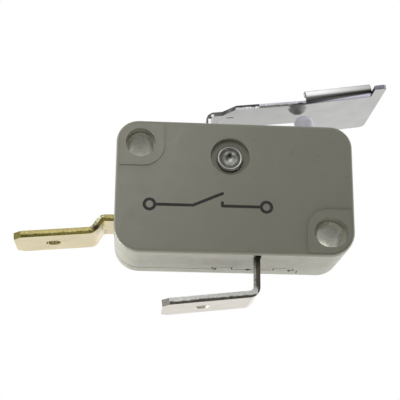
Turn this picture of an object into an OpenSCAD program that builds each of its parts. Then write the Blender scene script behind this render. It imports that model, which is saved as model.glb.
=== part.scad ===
// Snap-action micro switch with a hinged sheet-steel lever and two flat tabs.
// Frame: X along the body, Y from the front face to the back, Z up to the plunger.
// Origin: middle of the body and of the two mounting holes.

/* [Body] */
// length of the moulded body along X
body_l = 27.8; // [24:0.1:34]
// height of the moulded body along Z
body_h = 15.9; // [14:0.1:20]
// depth over the raised corner pads along Y
body_t = 10.3; // [9.4:0.1:13]
// radius of the two upper body corners
corner_r = 2.6; // [1.5:0.1:3.2]
// radius of the two lower body corners
corner_low = 3; // [1.5:0.1:3.4]
// thickness of the side walls
wall = 1.3; // [0.9:0.05:1.6]
// thickness of the front and back walls
face_wall = 1.2; // [0.9:0.05:1.6]
// radius of the rounded rims around the front and back faces
edge_r = 0.36; // [0.1:0.02:0.6]
// height of the corner pads above the faces
pad_rise = 0.15; // [0.05:0.05:0.4]
// depth of the cover, from the seam to the back face
cover_t = 2.6; // [2.2:0.1:3.2]
// open seam around the rim between case and cover
seam = 0.14; // [0.05:0.01:0.2]
// depth of the two locating tongues on the cover's lower rim
tongue_d = 0.8; // [0.3:0.1:1]

/* [Mounting holes] */
// half the hole spacing along X
hole_x = 11.1; // [9:0.1:13]
// half the hole spacing along Z
hole_z = 5.15; // [4:0.05:7]
// diameter of the mounting holes
hole_d = 3.1; // [2.5:0.05:3.4]
// reach of a corner block from its hole to its inner sides
block_reach = 2.75; // [2.3:0.05:3]
// inner corner radius of a corner block
block_r = 2.4; // [1:0.1:2.7]
// diameter of the wider hole mouths in the front face
mouth_d = 3.46; // [3.4:0.02:3.8]
// extra width of the oval mouth at the lower hole
mouth_oval = 0.45; // [0.1:0.05:0.8]
// depth of the hole mouths
mouth_depth = 1.1; // [0.4:0.05:1.6]

/* [Rivet] */
// rivet position along X
rivet_x = -0.6; // [-2:0.1:2]
// rivet position along Z
rivet_z = 3.63; // [2.8:0.05:4.4]
// diameter of the sunk pocket in the front face
pocket_d = 4.6; // [4:0.1:5.2]
// depth of the sunk pocket
pocket_depth = 0.7; // [0.5:0.05:1.4]
// height of the pocket's middle above the rivet's
pocket_up = 0.16; // [0:0.02:0.3]
// diameter of the rolled rim
rim_d = 3.1; // [2.9:0.05:3.6]
// radius of the rolled rim's round section
rim_r = 0.22; // [0.16:0.01:0.26]
// diameter of the rivet shank
shank_d = 2.2; // [1.8:0.05:2.5]
// diameter of the rivet's back head
head_d = 4; // [3.4:0.1:4.4]

/* [Plunger] */
// plunger position along X
plunger_x = 9.1; // [8:0.1:10]
// height of the plunger tip at rest
plunger_top = 11.12; // [10.4:0.02:11.3]
// diameter of the plunger stem
plunger_d = 2.45; // [2:0.05:3]
// radius of the rounded plunger tip
plunger_r = 1.3; // [1.25:0.05:3]
// radial clearance of the stem in its guide
plunger_gap = 0.06; // [0.03:0.01:0.15]
// travel of the plunger
plunger_travel = 1.8; // [1:0.1:2.2]

/* [Lever] */
// thickness of the lever sheet
lever_t = 0.55; // [0.4:0.05:0.7]
// position of the lever foot along X
foot_x = -2.75; // [-4:0.05:-1]
// height of the round lever pivot above the origin
pivot_z = 5.9; // [5.4:0.05:6.1]
// height of the lever's bend above the foot
bend_z = 11.13; // [10:0.05:12.5]
// slope of the arm in degrees
arm_slope = 6.65; // [4:0.05:9]
// slope of the paddle in degrees
paddle_slope = 9.05; // [6:0.05:12]
// start of the paddle along X
paddle_x = 9.2; // [8.6:0.1:10]
// end of the paddle along X
lever_end = 18.8; // [16:0.1:22]
// front side of the foot along Y
foot_front = 0.55; // [0.2:0.05:1.2]
// width of the foot along Y
foot_w = 2.6; // [2:0.05:3]
// front edge of the arm along Y
arm_front = -1.15; // [-2:0.05:-0.9]
// width of the arm along Y
arm_w = 6.05; // [5:0.05:7]
// width of the paddle behind the arm's front edge
paddle_w = 10.55; // [8:0.05:12]
// flat ear in front of the arm's front edge at the tip
ear_w = 2.35; // [1.5:0.05:3]
// length of the ear along X
ear_l = 1.45; // [1:0.05:2.5]
// outer radius of the folded hem
hem_r = 0.84; // [0.7:0.02:1.1]
// flat return of the folded hem
hem_return = 0.55; // [0.2:0.05:1]
// radius of the pressed bump above the plunger
bump_r = 1.25; // [1.2:0.05:1.6]
// height of the bump's lowest point
bump_low = 11.32; // [11.2:0.02:11.8]
// distance of the bump before the plunger axis
bump_back = 0.83; // [0.3:0.05:1.2]
// position of the bump along Y
bump_y = -0.15; // [-0.3:0.05:0.2]
// length of the hook at the lower end of the foot
hook_l = 1.5; // [1:0.1:1.8]
// clearance around the foot in its slot
foot_gap = 0.18; // [0.1:0.02:0.3]
// angle through which the lever is pressed in degrees
lever_press = 9; // [5:0.5:10]

/* [Tabs] */
// width of both flat tabs along Y
tab_w = 6.3; // [4.8:0.1:6.6]
// thickness of both flat tabs
tab_t = 0.8; // [0.5:0.05:1]
// diameter of the hole in each tab
tab_hole_d = 1.8; // [1.2:0.1:2.4]
// bevel at the tab corners along its length
tab_bevel_l = 0.85; // [0.4:0.05:1.4]
// bevel at the tab corners across its width
tab_bevel_w = 0.8; // [0.4:0.05:1.4]
// distance of the side tab's hole from its end
side_hole = 4.4; // [3:0.1:6]
// distance of the lower tab's hole from its end
lower_hole = 4.7; // [3:0.1:6]

/* [Side tab] */
// width of the side tab's neck at the wall
neck_w = 5.8; // [4.4:0.1:6]
// height of the neck's middle
neck_z = -3.47; // [-4:0.02:-3]
// reach of the neck outside the wall
neck_out = 1.45; // [0.8:0.05:2]
// sideways run of the step in the neck
step_x = 1; // [0.6:0.05:1.6]
// drop of the step in the neck
step_z = 1.6; // [1:0.05:2.2]
// length of the blade beyond the step
side_len = 9.05; // [7:0.05:12]
// slope of the blade in degrees
side_slope = 5.15; // [0:0.05:8]
// bend radius of the step at the middle of the sheet
side_bend = 0.85; // [0.6:0.05:1]

/* [Lower tab] */
// position of the lower tab along X
lower_x = 2.66; // [2:0.02:3.6]
// drop of the tab's corner below the body
lower_drop = 4.1; // [3.4:0.02:6]
// length of the lower blade
lower_len = 10.9; // [8:0.1:13]
// slope of the lower blade in degrees
lower_slope = 6.5; // [0:0.1:9]
// bend radius at the middle of the sheet
lower_bend = 0.85; // [0.6:0.05:1.4]

/* [Contacts] */
// position of the contact pair along X
contact_x = -6.7; // [-7.2:0.1:-6]
// diameter of the contact heads
contact_d = 2.6; // [2:0.1:3]
// height of the fixed contact head
fixed_h = 0.5; // [0.3:0.02:0.7]
// height of the moving contact head
moving_h = 0.5; // [0.3:0.02:0.7]
// diameter of the fixed contact's shank in the side tab
fixed_shank = 1.4; // [1:0.1:1.6]
// diameter of the moving contact's shank in the arm
moving_shank = 1.2; // [0.8:0.1:1.4]
// open gap between the two contact heads at rest
contact_gap = 0.12; // [0.08:0.01:0.2]
// position of the arm's knife edge along X
knife_x = 0.9; // [0.4:0.1:1.2]
// radius of the knife edge's round tip
knife_r = 0.1; // [0.06:0.02:0.16]
// slope of the contact arm at rest in degrees
arm_rest = 6; // [4.5:0.1:7]
// thickness of the contact arm
blade_t = 0.5; // [0.3:0.05:0.6]
// width of the contact arm along Y
blade_w = 4; // [3:0.1:4.4]
// thickness of the spring strip
spring_t = 0.25; // [0.15:0.01:0.35]
// width of the spring strip along Y
spring_w = 3; // [2:0.1:3.6]

/* [Hidden] */
$fn = 64;
eps = 0.01;
rest_gap = 0.1;
slot_gap = 0.05;
seam_depth = 0.5;
land_gap = 0.03;
tongue_w = 2.2;
half_l = body_l / 2;
half_h = body_h / 2;
half_t = body_t / 2;
front = -half_t + pad_rise;
back = half_t - pad_rise;
seam_y = half_t - cover_t;
in_front = front + face_wall;
in_back = back - face_wall;
in_x = half_l - wall;
in_z = half_h - wall;
guide_z = in_z - 1;
neck_low = neck_z - tab_t / 2;
neck_high = neck_z + tab_t / 2;
fixed_top = neck_high + fixed_h;
arm_reach = knife_x - contact_x;
knife_z = fixed_top + contact_gap + moving_h / cos(arm_rest) + arm_reach * tan(arm_rest);
stem_low = knife_z + (plunger_x - knife_x) * tan(arm_rest) + blade_t / cos(arm_rest) + rest_gap;
arm_end = arm_front + arm_w;
paddle_end = arm_front + paddle_w;
foot_back = foot_front + foot_w;
bend_x = foot_x;
paddle_z = bend_z + (paddle_x - bend_x) * tan(arm_slope);
hem_end = lever_end - ear_l;
bump_x = plunger_x - bump_back;
arm_z = bend_z + (bump_x - bend_x) * tan(arm_slope);
swing = (in_z + wall - pivot_z) * sin(lever_press);
spring_r = 2;
spring_x = 5.4;
post_d = shank_d + 2;
collar_z = guide_z - 1.5;
plate_front = -2.4;
plate_back = 2.2;
spring_top = knife_z + (spring_x - knife_x) * tan(arm_rest) - rest_gap;
spring_z = spring_top - spring_r - spring_t / 2;
seat_z = spring_z - spring_r - spring_t / 2;

// plate in the XZ plane between two depths
module slab(a, b) {
  translate([0, b, 0]) rotate([90, 0, 0]) linear_extrude(height = b - a) children();
}

// rod along Y between two depths
module rod(x, z, d, a, b) {
  translate([x, a, z]) rotate([-90, 0, 0]) cylinder(d = d, h = b - a);
}

// tapered rod along Y
module cone(x, z, d1, d2, a, b) {
  translate([x, a, z]) rotate([-90, 0, 0]) cylinder(d1 = d1, d2 = d2, h = b - a);
}

// box given by its low and high corners
module box(lo, hi) {
  translate(lo) cube(hi - lo);
}

// radius of a body corner, z is 1 at the top and -1 at the bottom
function corner(z) = z > 0 ? corner_r : corner_low;

// body outline with round corners between two depths, drawn in by an inset
module block(a, b, inset = 0) {
  x0 = half_l - inset;
  z0 = half_h - inset;
  for (z = [-1, 1])
    box([-half_l + corner(z), a, min(0, z * z0)], [half_l - corner(z), b, max(0, z * z0)]);
  box([-x0, a, -half_h + corner_low], [x0, b, half_h - corner_r]);
  for (x = [-1, 1], z = [-1, 1])
    rod(x * (half_l - corner(z)), z * (half_h - corner(z)), (corner(z) - inset) * 2, a, b);
}

// half section of a rounded rim, from the middle out and from the face down
module rim_section(reach) {
  intersection() {
    square([reach, edge_r]);
    union() {
      square([reach - edge_r, edge_r]);
      translate([reach - edge_r, edge_r]) circle(r = edge_r);
    }
  }
}

// rounded rim that closes the outline at the front face
module rim() {
  for (x = [-1, 1], z = [-1, 1])
    translate([x * (half_l - corner(z)), front, z * (half_h - corner(z))]) rotate([-90, 0, 0])
      rotate_extrude() rim_section(corner(z));
  for (x = [-1, 1])
    translate([0, front, x > 0 ? -half_h + corner_low : half_h - corner_r]) rotate([0, x > 0 ? 0 : 180, 0])
      linear_extrude(height = body_h - corner_low - corner_r) rim_section(half_l);
  for (z = [-1, 1])
    translate([z * (half_l - corner(z)), front, 0]) rotate([0, -90 * z, 0])
      linear_extrude(height = body_l - 2 * corner(z)) rim_section(half_h);
}

// the same rim at the back face
module back_rim() {
  rotate([0, 0, 180]) rim();
}

// corner block around a mounting hole, s is -1 at the upper left and 1 at the lower right
module corner_block(s, a, b, grow, out) {
  x0 = s * (hole_x - block_reach - grow);
  z0 = -s * (hole_z - block_reach - grow);
  r = block_r + grow;
  xr = x0 + s * r;
  zr = z0 - s * r;
  xe = s * (half_l - out);
  ze = -s * (half_h - out);
  box([min(x0, xe), a, min(zr, ze)], [max(x0, xe), b, max(zr, ze)]);
  box([min(xr, xe), a, min(z0, ze)], [max(xr, xe), b, max(z0, ze)]);
  rod(xr, zr, r * 2, a, b);
}

// corner block behind a depth, trimmed to the rounded body outline
module corner_part(s, a) {
  intersection() {
    corner_block(s, a, back + 1, 0, -1);
    union() {
      block(a - 1, back - edge_r);
      back_rim();
    }
  }
}

// raised pad, inset a little more than the rim
module pad(s, a, b) {
  e = edge_r + 0.05;
  r = corner(-s);
  xc = s * (half_l - r);
  zc = -s * (half_h - r);
  difference() {
    corner_block(s, a, b, 0, e);
    difference() {
      box([min(xc, xc + s * 9), a - 1, min(zc, zc - s * 9)],
        [max(xc, xc + s * 9), b + 1, max(zc, zc - s * 9)]);
      rod(xc, zc, (r - e) * 2, a - 2, b + 2);
    }
  }
}

// hollow for the mechanism between two depths
module hollow(a, b) {
  difference() {
    box([-in_x, a, -in_z], [in_x, b, in_z]);
    corner_block(-1, a - 1, b + 1, 0, 0);
    corner_block(1, a - 1, b + 1, 0, 0);
    rod(rivet_x, rivet_z, post_d, a - 1, b + 1);
    box([plunger_x - 2.2, a - 1, guide_z], [plunger_x + 2.2, b + 1, in_z + 1]);
    box([-in_x - 1, a - 1, -in_z - 1], [-in_x + 3, b + 1, neck_low]);
    box([lower_x + tab_t / 2 + 0.1, a - 1, -in_z - 1], [spring_x, b + 1, seat_z]);
  }
}

// oval mouth of the lower mounting hole
module oval_mouth() {
  deep = -half_t + mouth_depth;
  for (x = [-1, 1])
    rod(hole_x + x * mouth_oval / 2, -hole_z, mouth_d, -half_t - 1, deep);
  box([hole_x - mouth_oval / 2, -half_t - 1, -hole_z - mouth_d / 2],
    [hole_x + mouth_oval / 2, deep, -hole_z + mouth_d / 2]);
}

// openings shared by case and cover
module passages() {
  // mounting holes
  for (s = [-1, 1])
    rod(s * hole_x, -s * hole_z, hole_d, -half_t - 1, half_t + 1);
  // guide of the plunger
  translate([plunger_x, 0, guide_z - 1])
    cylinder(d = plunger_d + 2 * plunger_gap, h = half_h - guide_z + 2);
  // slot of the lever foot
  box([foot_x - lever_t / 2 - foot_gap, foot_front - foot_gap, in_z - 1.2],
    [foot_x + lever_t / 2 + foot_gap + swing, foot_back + foot_gap, half_h + 1]);
  // slot of the side tab
  box([-half_l - 1, -neck_w / 2 - slot_gap, neck_low],
    [-in_x + 0.5, neck_w / 2 + slot_gap, neck_high + slot_gap]);
  // slot of the lower tab
  box([lower_x - tab_t / 2, front + 0.45, -half_h - 1],
    [lower_x + tab_t / 2 + slot_gap, tab_w / 2 + slot_gap, -in_z + 0.5]);
}

// tongues on the cover's lower rim
module tongues(grow) {
  for (x = [rivet_x - 1.4, rivet_x + 6])
    box([x - grow, seam_y - tongue_d - grow, -half_h],
      [x + tongue_w + grow, seam_y + seam + eps, -in_z + grow]);
}

// pry notches along the lower seam
module notches() {
  for (x = [rivet_x - 1.1, lower_x - tab_t / 2 - 0.1, rivet_x + 7.9])
    translate([x, seam_y + seam / 2, -half_h - 1]) linear_extrude(height = 1.4)
      polygon([[-0.34, 0], [0, -0.5], [0.34, 0], [0, 0.5]]);
}

module case() {
  color([0.62, 0.62, 0.58]) difference() {
    union() {
      block(front + edge_r, seam_y);
      rim();
      for (s = [-1, 1]) {
        pad(s, -half_t, front + eps);
        corner_part(s, seam_y - eps);
        pad(s, back - eps, half_t);
      }
    }
    difference() {
      hollow(in_front, seam_y + 1);
      rod(rivet_x, rivet_z, pocket_d + 1.6, in_front - 1, in_front + 1);
    }
    rod(rivet_x, rivet_z + pocket_up, pocket_d, -half_t - 1, front + pocket_depth);
    rod(rivet_x, rivet_z, shank_d, -half_t, half_t);
    passages();
    rod(-hole_x, hole_z, mouth_d, -half_t - 1, -half_t + mouth_depth);
    oval_mouth();
    tongues(seam);
    notches();
  }
}

module cover() {
  color([0.66, 0.66, 0.62]) difference() {
    union() {
      difference() {
        union() {
          block(seam_y + seam, back - edge_r);
          block(seam_y + land_gap, seam_y + seam + eps, seam_depth);
          back_rim();
          difference() {
            tongues(0);
            box([-half_l, seam_y - tongue_d - 1, -half_h - 1], [half_l, seam_y + 1, -half_h]);
          }
        }
        difference() {
          hollow(seam_y - 1, in_back);
          rod(rivet_x, rivet_z, pocket_d + 1.6, in_back - 0.8, in_back + 1);
        }
        for (s = [-1, 1]) corner_block(s, seam_y - 1, half_t + 1, seam, -1);
      }
      rod(rivet_x, rivet_z, post_d, seam_y, in_back);
    }
    rod(rivet_x, rivet_z, pocket_d, back - 0.8, half_t + 1);
    rod(rivet_x, rivet_z, shank_d, -half_t, half_t);
    passages();
    notches();
  }
}

module rivet() {
  lip = front + pocket_depth;
  color([0.75, 0.75, 0.74]) difference() {
    union() {
      rod(rivet_x, rivet_z, shank_d, lip - rim_r, back - 0.2);
      rod(rivet_x, rivet_z, rim_d - 2 * rim_r - 0.1, lip - rim_r, lip);
      translate([rivet_x, lip - rim_r - 0.02, rivet_z]) rotate([90, 0, 0])
        rotate_extrude() translate([rim_d / 2 - rim_r, 0]) circle(r = rim_r);
      rod(rivet_x, rivet_z, head_d, back - 0.8, back - 0.2);
    }
    translate([rivet_x, lip - 0.95, rivet_z]) sphere(r = rim_d / 2 - 0.3);
  }
}

module plunger() {
  color([0.70, 0.70, 0.75]) translate([plunger_x, 0, 0]) {
    intersection() {
      translate([0, 0, guide_z - 1.2]) cylinder(d = plunger_d, h = plunger_top - guide_z + 2);
      translate([0, 0, plunger_top - plunger_r]) union() {
        sphere(r = plunger_r);
        translate([0, 0, -20]) cylinder(d = plunger_d + 1, h = 20);
      }
    }
    translate([0, 0, collar_z]) cylinder(d = plunger_d + 1.3, h = 1.1);
    intersection() {
      translate([0, 0, stem_low]) cylinder(d = plunger_d - 0.5, h = collar_z - stem_low + eps);
      translate([0, 0, stem_low + plunger_r]) union() {
        sphere(r = plunger_r);
        cylinder(d = plunger_d + 1, h = 20);
      }
    }
  }
}

// strip of sheet between two points of the XZ plane
module strip(p, q, t) {
  d = q - p;
  translate(p) rotate(atan2(d[1], d[0])) translate([0, -t / 2]) square([norm(d), t]);
}

// side view of the bent lever sheet
module lever_side() {
  p1 = [foot_x, pivot_z];
  p2 = [foot_x, bend_z - 0.55];
  p3 = [foot_x + 0.55, bend_z + 0.55 * tan(arm_slope)];
  p4 = [paddle_x, paddle_z];
  p5 = [lever_end + 1, paddle_z + (lever_end + 1 - paddle_x) * tan(paddle_slope)];
  strip(p1 - [hook_l, 0], p1, lever_t);
  translate(p1) circle(d = lever_t);
  strip(p1, p2, lever_t);
  translate(p2) circle(d = lever_t);
  strip(p2, p2 + [0.16, 0.36], lever_t);
  translate(p2 + [0.16, 0.36]) circle(d = lever_t);
  strip(p2 + [0.16, 0.36], p3, lever_t);
  translate(p3) circle(d = lever_t);
  strip(p3, p4, lever_t);
  translate(p4) circle(d = lever_t);
  strip(p4, p5, lever_t);
}

// outline of the lever from above
module lever_plan() {
  k = foot_x + 1.7;
  c = 0.6;
  polygon([
    [foot_x - 3, foot_front],
    [k, foot_front],
    [k + 1.55, arm_front],
    [hem_end, arm_front],
    [hem_end, arm_front - ear_w],
    [lever_end - 0.3, arm_front - ear_w],
    [lever_end, arm_front - ear_w + 0.3],
    [lever_end, paddle_end - c],
    [lever_end - 0.2, paddle_end - 0.2],
    [lever_end - c, paddle_end],
    [paddle_x + 0.9, paddle_end],
    [paddle_x - 0.5, arm_end],
    [k + 1.55, arm_end],
    [k, foot_back],
    [foot_x - 3, foot_back]
  ]);
}

// section of the folded hem, with the bend axis at the origin
module hem_section() {
  difference() {
    circle(r = hem_r);
    circle(r = hem_r - lever_t);
    translate([0, -2 * hem_r]) square([2 * hem_r, 4 * hem_r]);
  }
  translate([-eps, hem_r - lever_t]) square([hem_return, lever_t]);
}

module lever() {
  bump_z = bump_low + bump_r;
  color([0.78, 0.78, 0.77]) {
    difference() {
      union() {
        intersection() {
          slab(arm_front - ear_w, paddle_end) lever_side();
          translate([0, 0, pivot_z - 2]) linear_extrude(height = 14) lever_plan();
        }
        intersection() {
          translate([bump_x, bump_y, bump_z]) sphere(r = bump_r);
          translate([bump_x, bump_y, bump_z - 3]) cylinder(r = bump_r + 1, h = 3 + arm_z - bump_z);
        }
      }
      translate([bump_x, bump_y, bump_z]) sphere(r = bump_r - lever_t);
      translate([foot_x + 2.7, foot_front + 0.7, bend_z + 2.7 * tan(arm_slope)]) rotate([0, -arm_slope, 0])
        box([-0.45, 0, -lever_t / 2 - 0.5], [0.45, 0.22, -lever_t / 2 + 0.14]);
    }
    translate([paddle_x, arm_front, paddle_z]) rotate([0, -paddle_slope, 0])
      translate([0, 0, hem_r - lever_t / 2]) rotate([90, 0, 90])
        linear_extrude(height = (hem_end - paddle_x) / cos(paddle_slope)) hem_section();
  }
}

// bent piece of sheet around a centre, between two directions in degrees
module bend(centre, r, t, a0, a1) {
  mid = (a0 + a1) / 2;
  reach = 2 * (r + t);
  translate(centre) intersection() {
    difference() {
      circle(r = r + t / 2);
      circle(r = r - t / 2);
    }
    polygon([
      [0, 0],
      reach * [cos(a0), sin(a0)],
      reach / cos((a1 - a0) / 2) * [cos(mid), sin(mid)],
      reach * [cos(a1), sin(a1)]
    ]);
  }
}

// outline of a flat tab from above, with bevelled corners
module tab_plan(len) {
  polygon([
    [0, -tab_w / 2],
    [len - tab_bevel_l, -tab_w / 2],
    [len, -tab_w / 2 + tab_bevel_w],
    [len, tab_w / 2 - tab_bevel_w],
    [len - tab_bevel_l, tab_w / 2],
    [0, tab_w / 2]
  ]);
}

// flat blade that runs to the left from a point of the XZ plane
module blade(p, slope, len, hole) {
  translate([p[0], 0, p[1]]) rotate([0, 180 - slope, 0]) translate([0, 0, -tab_t / 2]) difference() {
    linear_extrude(height = tab_t) tab_plan(len);
    translate([len - hole, 0, -1]) cylinder(d = tab_hole_d, h = tab_t + 2);
  }
}

module side_tab() {
  a = [contact_x + 1.6, neck_z];
  b = [-half_l - neck_out, neck_z];
  c = b - [step_x, step_z];
  turn = atan2(step_z, step_x);
  flank = [cos(turn), sin(turn)];
  along = [cos(side_slope), sin(side_slope)];
  kb = side_bend * tan(turn / 2);
  kc = side_bend * tan((turn - side_slope) / 2);
  color([0.80, 0.70, 0.38]) {
    difference() {
      slab(-neck_w / 2, neck_w / 2) {
        strip(b + [kb - eps, 0], a, tab_t);
        bend(b + [kb, -side_bend], side_bend, tab_t, 90, 90 + turn);
        strip(c + (kc - eps) * flank, b - (kb - eps) * flank, tab_t);
      }
      box([-in_x + 0.2, -neck_w, neck_low - 1], [a[0] + 1, plate_front, neck_high + 1]);
      box([-in_x + 0.2, plate_back, neck_low - 1], [a[0] + 1, neck_w, neck_high + 1]);
      translate([contact_x, 0, neck_low - 1]) cylinder(d = fixed_shank, h = tab_t + 2);
    }
    slab(-tab_w / 2, tab_w / 2)
      bend(c + kc * flank + side_bend * [-sin(turn), cos(turn)],
        side_bend, tab_t, side_slope - 90, turn - 90);
    blade(c - (kc - 0.02) * along, side_slope, side_len - kc + 0.02, side_hole);
  }
}

module lower_tab() {
  corner = [lower_x, -half_h - lower_drop];
  k = lower_bend * tan((90 - lower_slope) / 2);
  centre = corner + [-lower_bend, k];
  in_low = -in_z + 1.4;
  in_mid = in_low + 1;
  color([0.80, 0.79, 0.76]) {
    slab(-tab_w / 2, tab_w / 2) {
      strip([lower_x, -in_z], corner + [0, k - eps], tab_t);
      bend(centre, lower_bend, tab_t, lower_slope - 90, 0);
    }
    slab(plate_front, plate_back) {
      strip([lower_x, -in_z - eps], [lower_x, in_low], tab_t);
      translate([lower_x, in_low]) circle(d = tab_t);
      strip([lower_x, in_low], [knife_x, in_mid], tab_t);
      translate([knife_x, in_mid]) circle(d = tab_t);
      strip([knife_x, in_mid], [knife_x, knife_z - 0.8], tab_t);
      polygon([
        [knife_x - tab_t / 2, knife_z - 0.8 - eps],
        [knife_x + tab_t / 2, knife_z - 0.8 - eps],
        [knife_x + knife_r, knife_z],
        [knife_x - knife_r, knife_z]
      ]);
      translate([knife_x, knife_z]) circle(r = knife_r);
    }
    blade(centre + [lower_bend * sin(lower_slope) + 0.02, -lower_bend * cos(lower_slope)],
      lower_slope, lower_len - k + 0.02, lower_hole);
  }
}

module fixed_contact() {
  color([0.83, 0.82, 0.78]) translate([contact_x, 0, 0]) {
    translate([0, 0, neck_high]) cylinder(d = contact_d, h = fixed_h);
    translate([0, 0, neck_low - 0.1]) cylinder(d = fixed_shank, h = tab_t + 0.1 + eps);
    translate([0, 0, neck_low - 0.3]) cylinder(d1 = fixed_shank + 0.2, d2 = fixed_shank + 0.6, h = 0.3);
  }
}

// places a piece in the contact arm's own frame, with X along the arm and Z across it
module on_arm() {
  translate([knife_x, 0, knife_z]) rotate([0, -arm_rest, 0]) children();
}

module contact_arm() {
  left = -(arm_reach / cos(arm_rest)) - 1.5;
  right = (plunger_x - knife_x) / cos(arm_rest) + 0.75;
  color([0.80, 0.62, 0.40]) on_arm() difference() {
    linear_extrude(height = blade_t)
      polygon([
        [left, -1.3],
        [left + 0.6, -1.7],
        [-2.5, -blade_w / 2],
        [3, -blade_w / 2],
        [right - 0.4, -1.3],
        [right, -0.9],
        [right, 0.9],
        [right - 0.4, 1.3],
        [3, blade_w / 2],
        [-2.5, blade_w / 2],
        [left + 0.6, 1.7],
        [left, 1.3]
      ]);
    translate([-arm_reach / cos(arm_rest), 0, -1]) cylinder(d = moving_shank, h = blade_t + 2);
    rod(0, 0, 2 * (knife_r + rest_gap), -blade_w, blade_w);
  }
}

module moving_contact() {
  color([0.83, 0.82, 0.78]) on_arm() translate([-arm_reach / cos(arm_rest), 0, 0]) {
    intersection() {
      translate([0, 0, -moving_h]) cylinder(d = contact_d, h = moving_h);
      translate([0, 0, 4 - moving_h]) sphere(r = 4);
    }
    translate([0, 0, -eps]) cylinder(d = moving_shank, h = blade_t + 0.05);
    translate([0, 0, blade_t]) cylinder(d1 = moving_shank + 0.7, d2 = moving_shank + 0.3, h = 0.25);
  }
}

module snap_spring() {
  color([0.72, 0.72, 0.72]) slab(-spring_w / 2, spring_w / 2) {
    intersection() {
      translate([spring_x, spring_z]) difference() {
        circle(r = spring_r + spring_t / 2);
        circle(r = spring_r - spring_t / 2);
      }
      translate([spring_x, spring_z - 4]) square([4, 8]);
    }
    strip([lower_x + tab_t / 2 + 0.3, spring_z - spring_r], [spring_x + eps, spring_z - spring_r], spring_t);
    strip([spring_x - 0.5, spring_z + spring_r - 0.06], [spring_x + eps, spring_z + spring_r], spring_t);
  }
}

case();
cover();
rivet();
plunger();
lever();
side_tab();
lower_tab();
fixed_contact();
contact_arm();
moving_contact();
snap_spring();
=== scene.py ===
"""Looks of a snap-action micro switch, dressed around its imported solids."""

import math

import bmesh
import bpy
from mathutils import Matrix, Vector


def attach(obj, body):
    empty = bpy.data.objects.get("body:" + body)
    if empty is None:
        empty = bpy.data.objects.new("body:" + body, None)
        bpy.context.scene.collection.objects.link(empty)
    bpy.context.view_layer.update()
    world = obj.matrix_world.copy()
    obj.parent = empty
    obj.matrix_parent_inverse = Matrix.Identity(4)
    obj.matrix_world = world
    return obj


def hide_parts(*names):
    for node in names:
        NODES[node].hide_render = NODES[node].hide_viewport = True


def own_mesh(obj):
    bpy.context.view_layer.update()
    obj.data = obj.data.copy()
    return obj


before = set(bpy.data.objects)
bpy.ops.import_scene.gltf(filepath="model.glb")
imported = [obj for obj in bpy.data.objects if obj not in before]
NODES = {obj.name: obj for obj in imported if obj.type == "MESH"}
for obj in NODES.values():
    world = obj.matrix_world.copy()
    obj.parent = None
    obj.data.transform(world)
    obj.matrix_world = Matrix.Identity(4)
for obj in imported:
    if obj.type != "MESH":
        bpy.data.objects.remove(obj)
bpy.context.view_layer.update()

MM = 0.001

# Camera of the photograph: its place, lens, sensor and range of sight in millimetres, its turn in degrees
CAMERA_AT = Vector((-11.58, -115.54, -35.71))
CAMERA_TURN = (107.086, -0.489, -4.022)
CAMERA_LENS = 90.64
CAMERA_SENSOR = 36.0
CAMERA_NEAR = 5.0
CAMERA_FAR = 5000.0

# Stage: places and sizes in millimetres, tilt in degrees, linear colours and their shades
FLOOR_Z = -260.0
FLOOR_SIZE = 6000.0
FLOOR_PALE = (0.86, 0.86, 0.86)
CARD_AT = Vector((20.0, -132.0, -8.0))
CARD_SIZE = (560.0, 290.0)
CARD_TILT = 106.75
CARD_DARK = (0.012, 0.012, 0.012)
CARD_LIGHT = (0.62, 0.62, 0.60)
CARD_FADE = (20.0, 145.0)
PAPER = {"Roughness": 0.9, "Specular_IOR_Level": 0.1}
FIBRE_SIZE = 6.0
FIBRE_SHADES = (0.98, 1.0)
ROOM_WHITE = (1, 1, 1, 1)

# Lamps: place in millimetres, size in millimetres, power in watts, colour
WARM = (1.0, 0.98, 0.94)
LAMPS = {
    "key": ((-28.0, -108.0, 46.0), 60.0, 0.028, (1.0, 1.0, 0.97)),
    "left": ((-150.0, 40.0, -60.0), 120.0, 0.38, WARM),
    "right": ((150.0, 40.0, -60.0), 120.0, 0.20, WARM),
    "low_left": ((-85.0, -50.0, -115.0), 100.0, 0.045, WARM),
    "low_right": ((85.0, -50.0, -115.0), 100.0, 0.055, WARM),
}

# Sockets of a Mix node for colours, and the range that a noise texture mostly keeps to
MIX_FACTOR = 0
MIX_FIRST = 6
MIX_SECOND = 7
MIX_RESULT = 2
NOISE_RANGE = (0.3, 0.7)

# Mounting holes, in millimetres: half their spacing, the reach of their walls from the axis, and the places
# along Y between which those walls turn pale with painted light, from the front and from the back
HOLE_X = 11.1
HOLE_Z = 5.15
HOLE_REACH = 2.2
BORE_FRONT = (-4.8, -3.6)
BORE_BACK = (5.05, 4.9)

# How much paler and smoother than the faces the walls of the mounting holes are; the paleness is painted
# light, as if lit through them
BORE_PAINTED_LIGHT = 2.8
BORE_GLOSS = 0.8

# Rivet, in millimetres: its place in XZ, the radius of its dished mouth, the radius from which that has a
# painted shadow of a groove, the widths over which both fade, and the place, radius and fade of a spot of
# painted shade at the top of the dish
RIVET_AT = (-0.6, 3.63)
MOUTH_RADIUS = 1.24
MOUTH_FADE = 0.06
GROOVE_RADIUS = 0.98
GROOVE_FADE = 0.12
DISH_SHADE_AT = (-0.6, 4.24)
DISH_SHADE_RADIUS = 0.12
DISH_SHADE_FADE = 0.28

# Directions along Y between which a face counts as the rivet's mouth, then the size in millimetres and the
# shades of the spots in its dish
MOUTH_FACING = (-0.1, -0.4)
DISH_SPOT = 0.5
DISH_SHADES = (0.6, 1.4)

# Middle of each sheet as corners of its side view, in millimetres
ARM_LINE = ((-2.2, 11.19), (9.2, 12.52), (18.8, 14.05))
SIDE_LINE = ((-25.4, -5.89), (-16.35, -5.07), (-15.35, -3.47), (-5.0, -3.47))
LOWER_LINE = ((-8.2, -13.29), (2.66, -12.05))
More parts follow.
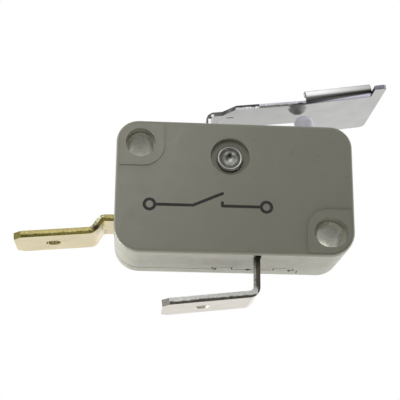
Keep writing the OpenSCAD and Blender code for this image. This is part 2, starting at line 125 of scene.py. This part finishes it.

# Height of the line between the two tones of a cut edge above the middle of its sheet, in millimetres: torn
# metal with painted light above it, burnished metal with painted shade below. On the lower tab it counts
# towards the inside of the bend.
SIDE_TEAR = -0.04
LOWER_TEAR = -0.06
LEG_TEAR = 0.1
LEVER_TEAR = 0.0
CREST_TEAR = -0.02
EAR_TEAR = -0.12

# Cut edges: directions along Y between which a face counts as cut, then the waves of the line between the
# two tones and its blur, in millimetres, and the spots with their size and shades
CUT_FACING = (0.45, 0.6)
WAVE_SIZE = 0.5
WAVE_STRETCH = (1, 0.2, 0.2)
WAVE_HEIGHT = 0.07
TEAR_BLUR = 0.05
SPOT_SIZE = 0.22
TORN_SHADES = (0.8, 1.2)
BURNISHED_SHADES = (0.6, 1.5)

# Holes of the tabs: distance from the tab's end, and radius and blur of a ball around the hole, both in
# millimetres, then the directions along Z between which a face counts as the wall of the hole, which has
# painted shade
SIDE_HOLE = 4.4
LOWER_HOLE = 4.7
HOLE_BALL = (1.05, 0.05)
WALL_FACING = (0.75, 0.6)

# Directions along X between which a face of a tab counts as its slanted end, which has painted shade, or as
# its leg's flank, which has a painted highlight
SLANT_FACING = (-0.3, -0.5)
FLANK_FACING = (-0.9, -0.97)

# Leg of the lower tab: its lower end and a place inside the body along Z, with their blur, and the size of
# its scuffs, in millimetres, then the spread of the scuffs
LEG = (-11.2, 0.0, 0.4)
SCUFF_SIZE = 0.45
SCUFF_SPREAD = (-0.7, 1.0)

# Step of the side tab: its ends along X with their blur, the rise over which its upper half sets in, where it
# has spots of painted glint and painted shade, the place, radius and blur of the painted shade at its foot,
# and the size of its spots, in millimetres, then the spread of the spots
STEP = (-16.3, -15.3, 0.3)
STEP_RISE = 0.1
SHADE_AT = (-15.9, -3.15, -4.7)
SHADE_BALL = (0.3, 0.25)
STEP_SPOT = 0.5
STEP_SPREAD = (-0.4, 1.4)

# Lever, in millimetres: the hem's ends along X, the arm's front along Y with the gap to the hem, the stretch
# of the arm along X whose edge has painted shade above and a painted highlight below, and a place beyond
# both foot and hem
HEM = (8.85, 17.35)
ARM_FRONT = -1.15
HEM_GAP = 0.1
CREST = (0.4, 3.35)
BEYOND = -9.0

# Places along X, in millimetres, between which the lever grows darker towards its foot
LEVER_DARKENING = (11.0, 7.0)

# Foot of the lever, in millimetres: the middle along X, the top of its half with a painted highlight, the
# blur towards the arm, its scuffs in painted shade, and the place, radius and blur of the painted glint at
# its bend
FOOT_MIDDLE = -2.75
FOOT_TOP = 10.6
FOOT_BLUR = 0.2
FOOT_SCUFF = 0.7
GLINT_AT = (-2.25, 0.55, 11.05)
GLINT_BALL = (0.09, 0.15)

# Hem, with painted reflection and shade: how far its shading turns along it, then the levels between which it
# goes from a painted highlight to painted shade and from that to a pale painted reflection, where zero faces
# level and one faces down
HEM_DRIFT = 0.38
HEM_DARK = (0.1, 0.65)
HEM_PALE = (0.98, 1.06)

# Streaked line of painted reflection on the crown of the hem: the size in millimetres, stretch and spread of
# its streaks, and the directions along Z between which it sets in and stops
CROWN_SIZE = 0.3
CROWN_STRETCH = (0.3, 1, 1)
CROWN_SPREAD = (0.2, 1.0)
CROWN_START = (0.6, 0.75)
CROWN_STOP = (0.97, 0.9)

# Directions along X between which a face counts as the hem's end, which has painted shade
HEM_END = (-0.5, -0.8)

# Pressed bump, in millimetres: its middle, the radius and blur of a ball around it, and the height from the
# middle of the sheet at which it sets in, with the fade
BUMP_AT = (8.27, -0.15, 12.57)
BUMP_BALL = (1.27, 0.1)
BUMP_RIM = -0.2
BUMP_FADE = 0.2

# Print on the front face: a make contact as strokes from XZ to XZ and rings, in millimetres
STROKES = (
    ((-9.3, -2.3), (-4.9, -2.3)),
    ((-4.9, -2.3), (-1.5, -0.8)),
    ((-1.5, -2.3), (3.0, -2.3)),
    ((-1.5, -2.3), (-1.5, -1.9)),
)
RINGS = ((-9.9, -2.3), (3.6, -2.3))
RING_RADIUS = 0.6
STROKE_WIDTH = 0.36

# Ink: the size of its worn patches in millimetres, its least cover, and how much it adds to the roughness
INK_PATCH = 0.25
INK_LEAST = 0.9
INK_MATT = 0.35

# Faint pale flow marks in the front face, from XZ to XZ, with their widths, in millimetres
FLOW_MARKS = (
    (((-7.15, 5.3), (-6.25, 7.05)), 0.3),
    (((-5.65, 5.95), (-5.8, 5.4)), 0.12),
)
FLOW_SHARE = 0.3
FLOW_PALE = 1.3

# Directions along Y between which a face counts as the front face
FRONT_FACING = (-0.9, -0.98)

# Plastic: sizes of its clouds, dots, gloss patches and grain in millimetres, with their shades and spread
CLOUD_SIZE = 4.0
CLOUD_SHADES = (0.95, 1.04)
DOT_SIZE = 0.16
DOT_SHADE = 0.97
GLOSS_SIZE = 1.5
GLOSS_SPREAD = 0.06
GRAIN_SIZE = 0.14

# Rolled metal: size and depth of its streaks, sizes of its stains and gloss patches, in millimetres, with
# their shades and spread, the shade towards which the lever darkens along X, and the stretches for even
# streaks and for streaks along X
STREAK_SIZE = 0.12
STREAK_SHADES = (0.96, 1.03)
STREAK_DEPTH = 0.0012
STAIN_SIZE = 2.2
SHEEN_SIZE = 1.3
SHEEN_SPREAD = (-0.05, 0.06)
DARKENING_SHADE = 0.84
EVEN = (1, 1, 1)
ALONG_X = (0.06, 1, 1)

# Roughness of worked metal
SHEAR_ROUGH = 0.45
PRESSED_ROUGH = 0.95
FLANK_ROUGH = 0.1

# Colours, linear
PLASTIC = (0.228, 0.225, 0.183)
COVER = (0.232, 0.229, 0.187)
PIN = (0.575, 0.575, 0.66)
INK = (0.008, 0.008, 0.008)
STEEL = (0.60, 0.60, 0.59)
# Cut edges of the lever: torn metal with painted light, burnished metal with painted shade
STEEL_TORN_LIT = (0.66, 0.65, 0.72)
STEEL_BURNISHED_SHADED = (0.20, 0.20, 0.19)
# Painted reflection on the crown of the hem
STEEL_CROWN_SHEEN = (0.36, 0.35, 0.34)
STEEL_BUMP = (0.50, 0.50, 0.50)
# Painted shade on the hem and its end, the crest, the foot and the rivet's dish
STEEL_SHADE = (0.07, 0.07, 0.07)
# Painted highlight on the hem and the foot
STEEL_HIGHLIGHT = (0.95, 0.95, 0.95)
# Pale lilac: the torn band of the ear's edge with painted light, and a painted reflection at the hem's foot
STEEL_LILAC = (0.33, 0.325, 0.39)
STEEL_DISH = (0.43, 0.43, 0.40)
# Painted shadow of a groove around the rivet's dish
STEEL_GROOVE_SHADOW = (0.17, 0.17, 0.165)
PLATED = (0.46, 0.46, 0.42)
BRASS = (0.84, 0.72, 0.42)
# Cut edges of the side tab: torn metal with painted light, burnished metal with painted shade
BRASS_TORN_LIT = (0.40, 0.345, 0.15)
BRASS_BURNISHED_SHADED = (0.13, 0.11, 0.03)
# Painted shade in the side tab's hole, painted glint and painted shade on its step
BRASS_HOLE_SHADE = (0.32, 0.275, 0.13)
BRASS_GLINT = (0.80, 0.82, 0.60)
BRASS_SHADE = (0.035, 0.03, 0.018)
TIN = (0.80, 0.735, 0.635)
# Cut edges of the lower tab: torn metal with painted light, burnished metal with painted shade
TIN_TORN_LIT = (0.95, 0.94, 0.91)
TIN_BURNISHED_SHADED = (0.12, 0.11, 0.09)
# Painted shade in the lower tab's hole and on its slanted end, a painted highlight on its leg's flank, and
# the leg's lighter band with painted light
TIN_HOLE_SHADE = (0.60, 0.57, 0.51)
TIN_FLANK_HIGHLIGHT = (0.98, 0.98, 0.97)
TIN_LEG = (0.50, 0.50, 0.48)
TIN_END_SHADE = (0.13, 0.125, 0.115)
SILVER = (0.82, 0.81, 0.78)
BRONZE = (0.70, 0.48, 0.27)

# Width of each CAD node's softened edges and the reach of the weld before it, in millimetres, then the
# number of faces across such an edge
SOFT_EDGES = {"case": 0.06, "cover": 0.06, "lever": 0.05, "side_tab": 0.06, "lower_tab": 0.06, "rivet": 0.03}
WELD_REACH = 0.0005
BEVEL_STEPS = 2


class Paint:
    """A Principled material with short ways to add nodes to it."""

    def __init__(self, name, **settings):
        self.material = bpy.data.materials.new(name)
        self.material.use_nodes = True
        self.tree = self.material.node_tree
        self.shader = self.tree.nodes["Principled BSDF"]
        for socket, value in settings.items():
            self.shader.inputs[socket.replace("_", " ")].default_value = value
        source = self.add("TexCoord")
        self.place = source.outputs["Object"]
        self.normal = source.outputs["Normal"]

    def add(self, kind, links=None, **values):
        """New node, with its inputs linked by links and set by values."""
        node = self.tree.nodes.new("ShaderNode" + kind)
        for socket, value in values.items():
            node.inputs[socket.replace("_", " ")].default_value = value
        for socket, source in (links or {}).items():
            self.tree.links.new(source, node.inputs[socket])
        return node

    def noise(self, size, stretch=EVEN, detail=3.0, low=0.0, high=1.0):
        """Noise with patches of about size millimetres, spread over low to high."""
        place = self.add("Mapping", {"Vector": self.place}, Scale=stretch).outputs["Vector"]
        noise = self.add("TexNoise", {"Vector": place}, Scale=1 / (size * MM), Detail=detail)
        return self.spread(noise.outputs["Fac"], *NOISE_RANGE, low, high)

    def spread(self, source, a, b, low=0.0, high=1.0):
        """Value that goes from low to high while source goes from a to b."""
        values = {"From_Min": a, "From_Max": b, "To_Min": low, "To_Max": high}
        return self.add("MapRange", {"Value": source}, **values).outputs["Result"]

    def ramp(self, source, a, b):
        """Value that goes from zero to one while source goes from a to b, which are in millimetres."""
        return self.spread(source, a * MM, b * MM)

    def between(self, share, low, high):
        """Value that goes from low to high while a share goes from zero to one."""
        return self.spread(share, 0.0, 1.0, low, high)

    def math(self, operation, first, second):
        """Result of a Math node, for sockets or plain numbers."""
        node = self.add("Math")
        node.operation = operation
        for socket, value in zip(node.inputs, (first, second)):
            if hasattr(value, "links"):
                self.tree.links.new(value, socket)
            else:
                socket.default_value = value
        return node.outputs[0]

    def mix(self, factor, first, second):
        """Colour between two colours or sockets."""
        node = self.add("Mix")
        node.data_type = "RGBA"
        self.tree.links.new(factor, node.inputs[MIX_FACTOR])
        for socket, value in ((node.inputs[MIX_FIRST], first), (node.inputs[MIX_SECOND], second)):
            if hasattr(value, "links"):
                self.tree.links.new(value, socket)
            else:
                socket.default_value = (*value, 1)
        return node.outputs[MIX_RESULT]

    def mottle(self, share, colour, factors):
        """Colour between two shades of one colour."""
        low, high = factors
        return self.mix(share, shade(colour, low), shade(colour, high))

    def near_holes(self, radius, blur=0.1):
        """One inside a radius around the mounting holes' axes and zero outside, in millimetres."""
        near = 0.0
        for side in (-1, 1):
            inside = self.ramp(self.away(side * HOLE_X, -side * HOLE_Z), radius + blur, radius)
            near = self.math("ADD", inside, near)
        return near

    def flat(self):
        """Place on the XZ plane."""
        return self.add("Mapping", {"Vector": self.place}, Scale=(1, 0, 1)).outputs["Vector"]

    def away(self, x, z):
        """Distance from an axis along Y at XZ, which is given in millimetres."""
        return self.vector("DISTANCE", self.flat(), (x * MM, 0, z * MM), "Value")

    def parts(self, source):
        """X, Y and Z of a vector."""
        return self.add("SeparateXYZ", {"Vector": source}).outputs

    def above(self, line):
        """Height above the middle of a sheet that follows a line of XZ points, in metres."""
        place = self.parts(self.place)
        middle = line[0][1] * MM
        for (x0, z0), (x1, z1) in zip(line, line[1:]):
            rise = self.spread(place["X"], x0 * MM, x1 * MM, 0.0, (z1 - z0) * MM)
            middle = self.math("ADD", rise, middle)
        return self.math("SUBTRACT", place["Z"], middle)

    def facing(self, axis, a, b):
        """Goes from zero to one while a part of the surface's direction goes from a to b."""
        return self.spread(self.parts(self.normal)[axis], a, b)

    def turned(self, axis, a, b):
        """Does what facing does, for that part of the direction without its sign."""
        return self.spread(self.math("ABSOLUTE", self.parts(self.normal)[axis], 0.0), a, b)

    def cut_face(self):
        """One where a surface faces the front or the back, zero where it faces along XZ."""
        return self.turned("Y", *CUT_FACING)

    def within(self, axis, a, b, blur=0.05):
        """One between two places along an axis and zero outside, in millimetres."""
        along = self.parts(self.place)[axis]
        before = self.spread(along, b * MM, (b + blur) * MM, 1.0, 0.0)
        return self.math("MULTIPLY", self.ramp(along, a - blur, a), before)

    def vector(self, operation, first, second, result="Vector"):
        """Result of a Vector Math node for a socket and a plain vector."""
        node = self.add("VectorMath", {0: first})
        node.operation = operation
        node.inputs[1].default_value = second
        return node.outputs[result]

    def ball(self, at, radius, blur):
        """One inside a ball and zero outside, in millimetres."""
        away = self.vector("DISTANCE", self.place, [c * MM for c in at], "Value")
        return self.ramp(away, radius + blur, radius)

    def strokes(self, lines, rings, radius, width, blur=0.03):
        """One on drawn lines and rings of the XZ plane and zero beside them, in millimetres."""
        drawn = 0.0
        for (x0, z0), (x1, z1) in lines:
            run = Vector((x1 - x0, 0, z1 - z0)) * MM
            rest = self.vector("SUBTRACT", self.flat(), (x0 * MM, 0, z0 * MM))
            along = self.vector("DOT_PRODUCT", rest, run, "Value")
            share = self.spread(along, 0.0, run.length_squared)
            foot = self.add("CombineXYZ", {axis: share for axis in "XYZ"}).outputs["Vector"]
            foot = self.vector("MULTIPLY", foot, run)
            node = self.add("VectorMath", {0: rest, 1: foot})
            node.operation = "DISTANCE"
            drawn = self.math("MAXIMUM", self.thin(node.outputs["Value"], width, blur), drawn)
        for x, z in rings:
            away = self.math("SUBTRACT", self.away(x, z), radius * MM)
            away = self.math("ABSOLUTE", away, 0.0)
            drawn = self.math("MAXIMUM", self.thin(away, width, blur), drawn)
        return drawn

    def thin(self, away, width, blur):
        """One within half a width of a line, zero beyond, in millimetres."""
        return self.ramp(away, (width + blur) / 2, (width - blur) / 2)

    def wire(self, socket, source):
        """Links a source to a socket of the shader."""
        self.tree.links.new(source, self.shader.inputs[socket])

    def bump(self, height, depth):
        """Relief of a given depth in millimetres."""
        bump = self.add("Bump", {"Height": height}, Strength=1.0, Distance=depth * MM)
        self.wire("Normal", bump.outputs["Normal"])


def shade(colour, factor):
    """Colour made darker or lighter by a factor."""
    return tuple(min(1.0, c * factor) for c in colour)


def moulded(name, colour, rough=0.33, grain=0.003, printed=False):
    """Satin plastic: faint clouds, fine grain, uneven gloss, painted light in its bores, a print if asked
    for.

    grain is the depth of the grain in millimetres.
    """
    paint = Paint(name, Specular_IOR_Level=0.5)
    clouds = paint.noise(CLOUD_SIZE, detail=4.0)
    dots = paint.noise(DOT_SIZE, detail=2.0)
    body = paint.mottle(clouds, colour, CLOUD_SHADES)
    body = paint.mix(dots, body, shade(colour, DOT_SHADE))
    # Walls of the mounting holes: paler with painted light, which grows from the front and from the back
    bore = paint.near_holes(HOLE_REACH)
    for ends in (BORE_FRONT, BORE_BACK):
        deep = paint.ramp(paint.parts(paint.place)["Y"], *ends)
        bore = paint.math("MULTIPLY", bore, deep)
    body = paint.mix(bore, body, shade(colour, BORE_PAINTED_LIGHT))
    gloss = paint.noise(GLOSS_SIZE, low=rough - GLOSS_SPREAD, high=rough + GLOSS_SPREAD)
    gloss = paint.math("MULTIPLY", gloss, paint.between(bore, 1.0, BORE_GLOSS))
    if printed:
        body, gloss = front_marks(paint, colour, body, gloss)
    paint.wire("Base Color", body)
    paint.wire("Roughness", gloss)
    paint.bump(paint.noise(GRAIN_SIZE, detail=3.0), grain)
    return paint.material


def front_marks(paint, colour, body, gloss):
    """Colour and roughness of the plastic with the flow marks and the print of the front face."""
    front = paint.facing("Y", *FRONT_FACING)
    for line, width in FLOW_MARKS:
        mark = paint.math("MULTIPLY", paint.strokes([line], [], 0.0, width, width), front)
        body = paint.mix(paint.math("MULTIPLY", mark, FLOW_SHARE), body, shade(colour, FLOW_PALE))
    drawn = paint.strokes(STROKES, RINGS, RING_RADIUS, STROKE_WIDTH)
    cover = paint.noise(INK_PATCH, detail=4.0, low=INK_LEAST, high=1.0)
    share = paint.math("MULTIPLY", paint.math("MULTIPLY", drawn, front), cover)
    gloss = paint.math("ADD", gloss, paint.math("MULTIPLY", share, INK_MATT))
    return paint.mix(share, body, INK), gloss


def rolled(name, colour, rough=0.22, stretch=ALONG_X, dull=0.86, shear=None, darkening=None):
    """Rolled sheet metal with fine streaks and faint dull patches.

    dull is the shade of those patches.
    shear gives the worked places: a function from the paint to their share, colour and roughness.
    The last argument gives two places along X in millimetres, between which the metal grows darker.
    """
    paint = Paint(name, Metallic=1.0)
    streaks = paint.noise(STREAK_SIZE, stretch=stretch, detail=4.0)
    stains = paint.noise(STAIN_SIZE, detail=4.0)
    clean = paint.mottle(streaks, colour, STREAK_SHADES)
    tone = paint.mix(stains, shade(colour, dull), clean)
    low, high = SHEEN_SPREAD
    gloss = paint.math("ADD", paint.noise(SHEEN_SIZE, low=low, high=high), rough)
    if darkening:
        share = paint.ramp(paint.parts(paint.place)["X"], *darkening)
        tone = paint.mix(share, tone, shade(colour, DARKENING_SHADE))
    if shear:
        worked, edge, coarse = shear(paint)
        tone = paint.mix(worked, tone, edge)
        smooth = paint.math("MULTIPLY", gloss, paint.between(worked, 1.0, 0.0))
        gloss = paint.math("ADD", smooth, paint.math("MULTIPLY", worked, coarse))
    paint.wire("Base Color", tone)
    paint.wire("Roughness", gloss)
    paint.bump(streaks, STREAK_DEPTH)
    return paint.material


def two_tone(paint, height, line, torn_lit, burnished_shaded):
    """Mottled cut edge, torn above a ragged line at a height in millimetres and burnished below.

    The torn band carries painted light and the burnished band painted shade.
    """
    wander = paint.noise(WAVE_SIZE, stretch=WAVE_STRETCH, low=-WAVE_HEIGHT * MM, high=WAVE_HEIGHT * MM)
    level = paint.math("ADD", height, wander)
    band = paint.ramp(level, line + TEAR_BLUR, line - TEAR_BLUR)
    spots = paint.noise(SPOT_SIZE, detail=3.0)
    upper = paint.mottle(spots, torn_lit, TORN_SHADES)
    lower = paint.mottle(spots, burnished_shaded, BURNISHED_SHADES)
    return paint.mix(band, upper, lower)


def tab_hole(paint, line, distance):
    """One on the wall of a tab's hole, at a distance from the first end of the tab's line, in millimetres."""
    end, start = Vector(line[0]), Vector(line[1])
    x, z = end + (start - end).normalized() * distance
    wall = paint.turned("Z", *WALL_FACING)
    return paint.math("MULTIPLY", paint.ball((x, 0, z), *HOLE_BALL), wall)


def step_tone(paint, edge):
    """Side tab's edge, with its step mottled in painted glint and shade above and painted shade at its foot.
    """
    low, high = STEP_SPREAD
    spots = paint.noise(STEP_SPOT, detail=2.0, low=low, high=high)
    upper = paint.ramp(paint.above(SIDE_LINE), 0.0, STEP_RISE)
    share = paint.math("MULTIPLY", paint.within("X", *STEP), upper)
    edge = paint.mix(share, edge, paint.mix(spots, BRASS_BURNISHED_SHADED, BRASS_GLINT))
    return paint.mix(paint.ball(SHADE_AT, *SHADE_BALL), edge, BRASS_SHADE)


def brass_edges(paint):
    """Edges of the side tab: torn above, burnished below and at the slanted end, its step and its hole.

    The torn parts carry painted light, the burnished parts and the hole painted shade, the step painted glint
    and shade.
    """
    edge = two_tone(paint, paint.above(SIDE_LINE), SIDE_TEAR, BRASS_TORN_LIT, BRASS_BURNISHED_SHADED)
    edge = paint.mix(paint.facing("X", *SLANT_FACING), edge, BRASS_BURNISHED_SHADED)
    hole = tab_hole(paint, SIDE_LINE, SIDE_HOLE)
    edge = paint.mix(hole, step_tone(paint, edge), BRASS_HOLE_SHADE)
    return paint.math("MAXIMUM", paint.cut_face(), hole), edge, SHEAR_ROUGH


def tin_edges(paint):
    """Lower tab's edges, in painted light and shade: torn inside the bend, burnished outside, scuffed on the
    leg.

    The slanted end and the hole have painted shade and the leg's flank has a painted highlight.
    """
    below = paint.math("MULTIPLY", paint.above(LOWER_LINE), -1.0)
    beside = paint.math("SUBTRACT", paint.parts(paint.place)["X"], LOWER_LINE[-1][0] * MM)
    inside = paint.math("MULTIPLY", paint.math("MAXIMUM", below, beside), -1.0)
    edge = two_tone(paint, inside, LOWER_TEAR, TIN_TORN_LIT, TIN_BURNISHED_SHADED)
    leg = two_tone(paint, inside, LEG_TEAR, TIN_LEG, TIN_BURNISHED_SHADED)
    low, high = SCUFF_SPREAD
    scuffs = paint.noise(SCUFF_SIZE, detail=2.0, low=low, high=high)
    leg = paint.mix(scuffs, leg, TIN_BURNISHED_SHADED)
    edge = paint.mix(paint.within("Z", *LEG), edge, leg)
    edge = paint.mix(paint.facing("X", *SLANT_FACING), edge, TIN_END_SHADE)
    flank = paint.facing("X", *FLANK_FACING)
    edge = paint.mix(flank, edge, TIN_FLANK_HIGHLIGHT)
    hole = tab_hole(paint, LOWER_LINE, LOWER_HOLE)
    rough = paint.between(flank, SHEAR_ROUGH, FLANK_ROUGH)
    worked = paint.math("MAXIMUM", paint.cut_face(), paint.math("MAXIMUM", flank, hole))
    return worked, paint.mix(hole, edge, TIN_HOLE_SHADE), rough


def lever_edges(paint):
    """Edges of the lever by their place, its hem in painted reflection and shade, and its dull pressed bump.
    """
    hem = paint.math("MULTIPLY", paint.within("X", *HEM), paint.within("Y", BEYOND, ARM_FRONT - HEM_GAP))
    height = paint.above(ARM_LINE)
    under = paint.ramp(height, BUMP_RIM, BUMP_RIM - BUMP_FADE)
    pressed = paint.math("MULTIPLY", paint.ball(BUMP_AT, *BUMP_BALL), under)
    worked = paint.math("MAXIMUM", paint.math("MAXIMUM", paint.cut_face(), hem), pressed)
    edge = two_tone(paint, height, LEVER_TEAR, STEEL_TORN_LIT, STEEL_BURNISHED_SHADED)
    # Crest of the arm: painted shade above its edge's line, torn metal with a painted highlight below
    crest = two_tone(paint, height, CREST_TEAR, STEEL_SHADE, STEEL_TORN_LIT)
    edge = paint.mix(paint.within("X", *CREST), edge, crest)
    ear = two_tone(paint, height, EAR_TEAR, STEEL_LILAC, STEEL_BURNISHED_SHADED)
    edge = paint.mix(paint.within("X", HEM[1], ARM_LINE[-1][0]), edge, ear)
    edge = paint.mix(paint.within("X", BEYOND, CREST[0], FOOT_BLUR), edge, foot_tone(paint))
    edge = paint.mix(pressed, edge, STEEL_BUMP)
    rough = paint.between(pressed, SHEAR_ROUGH, PRESSED_ROUGH)
    return worked, paint.mix(hem, edge, hem_tone(paint)), rough


def foot_tone(paint):
    """Scuffed edge of the lever's foot in painted shade, with painted highlights on its inner half and bend.
    """
    foot = paint.mix(paint.noise(FOOT_SCUFF, detail=2.0), STEEL_SHADE, STEEL_BURNISHED_SHADED)
    inner = paint.math("MULTIPLY", paint.within("X", FOOT_MIDDLE, 0.0), paint.within("Z", 0.0, FOOT_TOP))
    bright = paint.math("MAXIMUM", inner, paint.ball(GLINT_AT, *GLINT_BALL))
    return paint.mix(bright, foot, STEEL_HIGHLIGHT)


def hem_tone(paint):
    """Round hem: painted highlight above, a streaked line on its crown, painted shade below and at its end.

    Its foot, which rises along X, turns pale again with a painted reflection.
    """
    drift = paint.spread(paint.parts(paint.place)["X"], HEM[0] * MM, HEM[1] * MM, 0.0, HEM_DRIFT)
    level = paint.math("ADD", paint.facing("Z", 0.0, -1.0), drift)
    tone = paint.mix(paint.spread(level, *HEM_DARK), STEEL_HIGHLIGHT, STEEL_SHADE)
    tone = paint.mix(paint.spread(level, *HEM_PALE), tone, STEEL_LILAC)
    low, high = CROWN_SPREAD
    crown = paint.noise(CROWN_SIZE, stretch=CROWN_STRETCH, low=low, high=high)
    line = paint.math("MULTIPLY", paint.facing("Z", *CROWN_START), paint.facing("Z", *CROWN_STOP))
    tone = paint.mix(paint.math("MULTIPLY", crown, line), tone, STEEL_CROWN_SHEEN)
    return paint.mix(paint.facing("X", *HEM_END), tone, STEEL_SHADE)


def rivet_mouth(paint):
    """Dull dish inside the rivet's rim, a painted shadow of a groove around it and painted shade at its top.
    """
    away = paint.away(*RIVET_AT)
    mouth = paint.ramp(away, MOUTH_RADIUS, MOUTH_RADIUS - MOUTH_FADE)
    mouth = paint.math("MULTIPLY", mouth, paint.facing("Y", *MOUTH_FACING))
    # Painted shadow of a groove around the dish
    groove = paint.ramp(away, GROOVE_RADIUS - GROOVE_FADE, GROOVE_RADIUS)
    dish = paint.mottle(paint.noise(DISH_SPOT, detail=2.0), STEEL_DISH, DISH_SHADES)
    # Spot of painted shade at the top of the dish
    dish_shade = paint.ramp(paint.away(*DISH_SHADE_AT), DISH_SHADE_RADIUS + DISH_SHADE_FADE, DISH_SHADE_RADIUS)
    dish = paint.mix(dish_shade, dish, STEEL_SHADE)
    return mouth, paint.mix(groove, dish, STEEL_GROOVE_SHADOW), SHEAR_ROUGH


def dress(node, material):
    """Gives a CAD node its material, on every slot."""
    slots = NODES[node].data.materials
    slots.clear()
    slots.append(material)


def soften(node, width, angle=35.0):
    """Rounds a CAD node's edges that are sharper than an angle in degrees, by a width in millimetres."""
    piece = NODES[node]
    weld = piece.modifiers.new("weld", "WELD")
    weld.merge_threshold = WELD_REACH * MM
    bevel = piece.modifiers.new("bevel", "BEVEL")
    bevel.width = width * MM
    bevel.segments = BEVEL_STEPS
    bevel.limit_method = "ANGLE"
    bevel.angle_limit = math.radians(angle)
    bevel.use_clamp_overlap = True
    normals = piece.modifiers.new("normals", "WEIGHTED_NORMAL")
    normals.keep_sharp = True


def plane(name, size, at, tilt=0.0):
    """Flat rectangle, turned about X by tilt degrees, in millimetres."""
    mesh = bpy.data.meshes.new(name)
    shape = bmesh.new()
    w, d = size[0] * MM / 2, size[1] * MM / 2
    corners = [shape.verts.new(c) for c in ((-w, -d, 0), (w, -d, 0), (w, d, 0), (-w, d, 0))]
    shape.faces.new(corners)
    shape.to_mesh(mesh)
    shape.free()
    piece = bpy.data.objects.new(name, mesh)
    piece.location = Vector(at) * MM
    piece.rotation_euler = (math.radians(tilt), 0, 0)
    bpy.context.scene.collection.objects.link(piece)
    return piece


def paper(name, colour):
    """Matt paper for the floor."""
    paint = Paint(name, **PAPER)
    fibres = paint.noise(FIBRE_SIZE, detail=5.0)
    paint.wire("Base Color", paint.mottle(fibres, colour, FIBRE_SHADES))
    return paint.material


def graded(name, low, high, fade):
    """Matt card that goes from one colour to another along its height, between two places in millimetres."""
    paint = Paint(name, **PAPER)
    share = paint.ramp(paint.parts(paint.place)["Y"], *fade)
    paint.wire("Base Color", paint.mix(share, low, high))
    return paint.material


def lamp(name, at, size, power, colour):
    """Soft square lamp that points at the origin."""
    data = bpy.data.lights.new(name, "AREA")
    data.color = colour
    data.size = size * MM
    data.energy = power
    piece = bpy.data.objects.new(name, data)
    piece.location = Vector(at) * MM
    piece.rotation_euler = (-Vector(at)).to_track_quat("-Z", "Y").to_euler()
    piece.visible_camera = False
    bpy.context.scene.collection.objects.link(piece)


def make_stage():
    """Pale floor, graded card at the camera, lamps and a white room."""
    for name, (at, size, power, colour) in LAMPS.items():
        lamp(name, at, size, power, colour)
    floor = plane("floor", (FLOOR_SIZE, FLOOR_SIZE), (0, 0, FLOOR_Z))
    floor.data.materials.append(paper("floor_paper", FLOOR_PALE))
    card = plane("card", CARD_SIZE, CARD_AT, CARD_TILT)
    card.data.materials.append(graded("card_paper", CARD_DARK, CARD_LIGHT, CARD_FADE))
    card.visible_camera = False
    world = bpy.data.worlds.new("room")
    world.use_nodes = True
    world.node_tree.nodes["Background"].inputs["Color"].default_value = ROOM_WHITE
    bpy.context.scene.world = world


def make_camera():
    """Camera at the photograph's place and angle."""
    data = bpy.data.cameras.new("camera")
    data.lens = CAMERA_LENS
    data.sensor_width = CAMERA_SENSOR
    data.clip_start = CAMERA_NEAR * MM
    data.clip_end = CAMERA_FAR * MM
    camera = bpy.data.objects.new("camera", data)
    camera.location = CAMERA_AT * MM
    camera.rotation_euler = [math.radians(a) for a in CAMERA_TURN]
    bpy.context.scene.collection.objects.link(camera)
    bpy.context.scene.camera = camera


def make_spring(material):
    """Inner spring under the contact arm, as a copy of its own on the base in place of the hidden CAD node.
    """
    spring = bpy.data.objects.new("bent_spring", NODES["snap_spring"].data.copy())
    spring.data.materials.clear()
    spring.data.materials.append(material)
    bpy.context.scene.collection.objects.link(spring)
    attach(spring, "base")
    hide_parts("snap_spring")
    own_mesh(spring)


def make_looks():
    """Materials and soft edges of the CAD nodes."""
    dress("case", moulded("case_plastic", PLASTIC, printed=True))
    dress("cover", moulded("cover_plastic", COVER))
    dress("plunger", moulded("plunger_plastic", PIN, rough=0.42, grain=0.001))
    dress("rivet", rolled("rivet_steel", PLATED, rough=0.3, stretch=EVEN, dull=0.6, shear=rivet_mouth))
    dress("lever", rolled("lever_steel", STEEL, rough=0.2, shear=lever_edges, darkening=LEVER_DARKENING))
    dress("side_tab", rolled("tab_brass", BRASS, rough=0.22, shear=brass_edges))
    dress("lower_tab", rolled("tab_tin", TIN, rough=0.11, shear=tin_edges))
    silver = rolled("contact_silver", SILVER, rough=0.25, stretch=EVEN)
    dress("fixed_contact", silver)
    dress("moving_contact", silver)
    dress("contact_arm", rolled("arm_bronze", BRONZE, rough=0.3))
    make_spring(rolled("spring_steel", STEEL, rough=0.3))
    for node, width in SOFT_EDGES.items():
        soften(node, width)


make_camera()
make_stage()
make_looks()
bpy.context.scene.view_settings.view_transform = "Standard"
